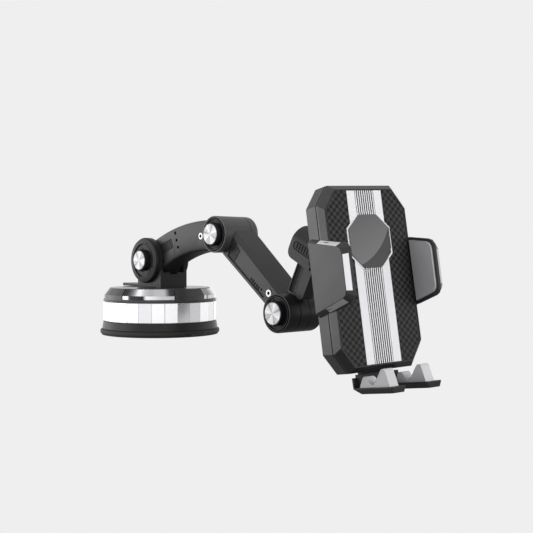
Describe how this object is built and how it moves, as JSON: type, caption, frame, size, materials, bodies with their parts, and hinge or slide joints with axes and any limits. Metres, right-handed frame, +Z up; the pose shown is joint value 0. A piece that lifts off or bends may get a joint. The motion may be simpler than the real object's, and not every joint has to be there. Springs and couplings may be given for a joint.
{
  "type": "car phone mount",
  "caption": "Vacuum-base phone mount: swivelling yoke, three jointed arms with a telescopic rail, ball head and a cradle with two geared side jaws and a sliding foot.",
  "frame": {"origin": "centre of the suction face", "axes": "+Z up from the suction face, +X along the arms towards the cradle, knob side of the arms faces -Y"},
  "size_m": [0.2921, 0.0881, 0.1172],
  "materials": {
    "dark_plastic": "satin",
    "grey_plastic": "satin",
    "gloss_black": "gloss",
    "silver_chrome": "plated",
    "silver_disc": "spun",
    "silver_paint": "metallic paint",
    "steel": "plain",
    "soft_black": "matt",
    "soft_grey": "matt",
    "carbon": "woven pattern under clear coat",
    "nylon": "plain",
    "alloy": "cast"
  },
  "bodies": {
    "base": {"gel_pad": "soft_black", "suction_cup": "soft_black", "base_housing": "dark_plastic", "grip_ring": "silver_chrome", "base_lid": "dark_plastic", "lid_inserts": "gloss_black", "base_screws": "steel", "plunger_spring": "steel"},
    "plunger": {"plunger": "alloy"},
    "yoke": {"yoke": "dark_plastic", "yoke_retainer": "steel", "shoulder_bolt": "steel", "shoulder_nut": "steel", "shoulder_washers": "nylon", "shoulder_cap": "dark_plastic", "shoulder_disc": "silver_disc", "shoulder_rear_cap": "dark_plastic", "lever_pin": "steel"},
    "lock_lever": {"lock_lever": "dark_plastic"},
    "upper_arm": {"upper_arm_near": "grey_plastic", "upper_arm_far": "grey_plastic", "upper_arm_screws": "steel", "elbow_bolt": "steel", "elbow_nut": "steel", "elbow_washer": "nylon", "elbow_cap": "dark_plastic", "elbow_disc": "silver_disc"},
    "lower_arm": {"lower_arm_near": "grey_plastic", "lower_arm_far": "grey_plastic", "lower_arm_screws": "steel", "elbow_rear_cap": "dark_plastic", "wrist_bolt": "steel", "wrist_nut": "steel", "wrist_cap": "dark_plastic", "wrist_disc": "silver_disc", "wrist_rear_cap": "dark_plastic"},
    "rail": {"toothed_rail": "dark_plastic", "wrist_washers": "nylon"},
    "head": {"ball_head": "grey_plastic"},
    "head_button": {"head_button": "dark_plastic"},
    "collar_nut": {"collar_nut": "dark_plastic"},
    "ball_seat": {"ball_seat": "nylon"},
    "ball_stud": {"ball_stud": "alloy"},
    "cradle": {"cradle_back": "grey_plastic", "cradle_front": "dark_plastic", "carbon_panels": "carbon", "centre_strip": "silver_paint", "octagon_cover": "gloss_black", "stud_clamp": "steel", "cradle_screws": "steel", "gear_pin": "steel"},
    "release_button": {"jaw_release_button": "dark_plastic"},
    "pinion": {"pinion": "nylon"},
    "jaw_left": {"jaw_left": "grey_plastic", "jaw_left_pad": "soft_grey"},
    "jaw_right": {"jaw_right": "grey_plastic", "jaw_right_pad": "soft_grey"},
    "foot": {"foot_carriage": "dark_plastic", "foot_pads": "soft_grey"}
  },
  "joints": [
    {"name": "base_swivel", "type": "hinge", "parent": "base", "child": "yoke", "pos_m": [0, 0, 0.034], "axis": [0, 0, 1], "continuous": true},
    {"name": "plunger_lift", "type": "slide", "parent": "base", "child": "plunger", "axis": [0, 0, 1], "range_m": [-0.0025, 0], "deforming": ["plunger_spring"]},
    {"name": "lever_hinge", "type": "hinge", "parent": "yoke", "child": "lock_lever", "pos_m": [-0.0055, 0, 0.02905], "axis": [0, 1, 0], "range_deg": [0, 35]},
    {"name": "shoulder", "type": "hinge", "parent": "yoke", "child": "upper_arm", "pos_m": [0, 0, 0.0537], "axis": [0, -1, 0], "range_deg": [-5, 95]},
    {"name": "elbow", "type": "hinge", "parent": "upper_arm", "child": "lower_arm", "pos_m": [0.0795, 0, 0.0713], "axis": [0, -1, 0], "range_deg": [-25, 108]},
    {"name": "wrist", "type": "hinge", "parent": "lower_arm", "child": "rail", "pos_m": [0.1393, 0, 0.0217], "axis": [0, 1, 0], "range_deg": [-6, 110]},
    {"name": "arm_extension", "type": "slide", "parent": "rail", "child": "head", "axis": [0.4462, 0, 0.8949], "range_m": [0, 0.012]},
    {"name": "arm_lock_button", "type": "slide", "parent": "head", "child": "head_button", "axis": [0, 1, 0], "range_m": [0, 0.0007], "stiffness_N_per_m": 900, "springref_m": -0.0004},
    {"name": "collar_turn", "type": "hinge", "parent": "head", "child": "collar_nut", "pos_m": [0.17334, 0, 0.05389], "axis": [0.8949, 0, -0.4462], "range_deg": [0, 180]},
    {"name": "ball_swing", "type": "hinge", "parent": "head", "child": "ball_seat", "pos_m": [0.17334, 0, 0.05389], "axis": [0.8949, 0, -0.4462], "range_deg": [-60, 60]},
    {"name": "ball_tilt", "type": "hinge", "parent": "ball_seat", "child": "ball_stud", "pos_m": [0.17334, 0, 0.05389], "axis": [-0.1619, -0.9318, -0.3248], "range_deg": [-45, 6]},
    {"name": "cradle_turn", "type": "hinge", "parent": "ball_stud", "child": "cradle", "pos_m": [0.17334, 0, 0.05389], "axis": [0.9644, -0.2191, 0.1478], "continuous": true},
    {"name": "jaw_release", "type": "slide", "parent": "cradle", "child": "release_button", "axis": [0.9644, -0.2191, 0.1478], "range_m": [0, 0.0012], "stiffness_N_per_m": 900, "springref_m": -0.0004},
    {"name": "jaw_left_slide", "type": "slide", "parent": "cradle", "child": "jaw_left", "axis": [-0.2153, -0.9757, -0.0414], "range_m": [0, 0.018]},
    {"name": "jaw_right_slide", "type": "slide", "parent": "cradle", "child": "jaw_right", "axis": [0.2153, 0.9757, 0.0414], "range_m": [0, 0.018]},
    {"name": "pinion_turn", "type": "hinge", "parent": "cradle", "child": "pinion", "pos_m": [0.2001, -0.00558, 0.04626], "axis": [0.9644, -0.2191, 0.1478], "range_deg": [0, 180]},
    {"name": "foot_slide", "type": "slide", "parent": "cradle", "child": "foot", "axis": [0.1533, 0.0081, -0.9881], "range_m": [0, 0.012]}
  ],
  "couplings": [
    {"joint": "lever_hinge", "follows": "plunger_lift", "rad_per_m": -244.34},
    {"joint": "jaw_right_slide", "follows": "jaw_left_slide", "ratio": 1},
    {"joint": "pinion_turn", "follows": "jaw_left_slide", "rad_per_m": 166.67}
  ]
}
